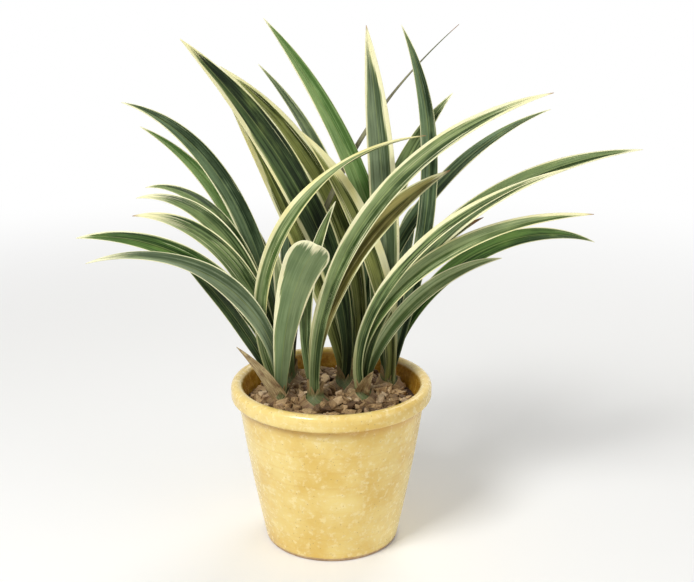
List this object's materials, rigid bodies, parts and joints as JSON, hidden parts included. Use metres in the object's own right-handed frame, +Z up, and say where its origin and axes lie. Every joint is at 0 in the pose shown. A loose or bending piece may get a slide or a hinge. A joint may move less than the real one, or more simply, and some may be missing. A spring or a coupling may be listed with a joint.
{
  "type": "potted cymbidium orchid",
  "caption": "Leafy cymbidium orchid without flowers: fans of arching strap leaves with cream margins, growing from rooted pseudobulbs in bark mix in a round tapered glazed pot.",
  "frame": {"origin": "centre of the pot's flat foot, on the surface it stands on", "axes": "+Z up along the pot's axis; the plant's front looks along -Y and its right side is +X"},
  "size_m": [0.4745, 0.2656, 0.465],
  "materials": {
    "yellow_glaze": "glossy pale yellow glaze",
    "orchid_bark": "loose brown bark chips with a few pale pebbles",
    "pseudobulb": "smooth green living tissue with fleshy roots",
    "leaf_green": "satin dark green leaf with cream margins",
    "dry_sheath": "dry papery brown sheath"
  },
  "bodies": {
    "root": {"back_leaf_1": "leaf_green", "back_leaf_2": "leaf_green", "back_leaf_3": "leaf_green", "back_leaf_4": "leaf_green", "back_leaf_5": "leaf_green", "back_pseudobulb": "pseudobulb", "centre_front_leaf_1": "leaf_green", "centre_front_leaf_2": "leaf_green", "centre_front_leaf_3": "leaf_green", "centre_front_pseudobulb": "pseudobulb", "centre_leaf_1": "leaf_green", "centre_leaf_2": "leaf_green", "centre_leaf_3": "leaf_green", "centre_pseudobulb": "pseudobulb", "left_back_leaf_1": "leaf_green", "left_back_leaf_2": "leaf_green", "left_back_leaf_3": "leaf_green", "left_back_leaf_4": "leaf_green", "left_back_leaf_5": "leaf_green", "left_back_leaf_6": "leaf_green", "left_back_pseudobulb": "pseudobulb", "left_leaf_1": "leaf_green", "left_leaf_2": "leaf_green", "left_leaf_3": "leaf_green", "left_leaf_4": "leaf_green", "left_leaf_5": "leaf_green", "left_leaf_6": "leaf_green", "left_leaf_7": "leaf_green", "left_leaf_8": "leaf_green", "left_pseudobulb": "pseudobulb", "left_sheath": "dry_sheath", "pot": "yellow_glaze", "potting_mix": "orchid_bark", "right_back_leaf_1": "leaf_green", "right_back_leaf_2": "leaf_green", "right_back_leaf_3": "leaf_green", "right_back_leaf_4": "leaf_green", "right_back_leaf_5": "leaf_green", "right_back_leaf_6": "leaf_green", "right_back_leaf_7": "leaf_green", "right_back_pseudobulb": "pseudobulb", "right_back_sheath": "dry_sheath", "right_front_leaf_1": "leaf_green", "right_front_leaf_2": "leaf_green", "right_front_leaf_3": "leaf_green", "right_front_leaf_4": "leaf_green", "right_front_leaf_5": "leaf_green", "right_front_pseudobulb": "pseudobulb", "right_front_sheath": "dry_sheath"}
  },
  "joints": []
}
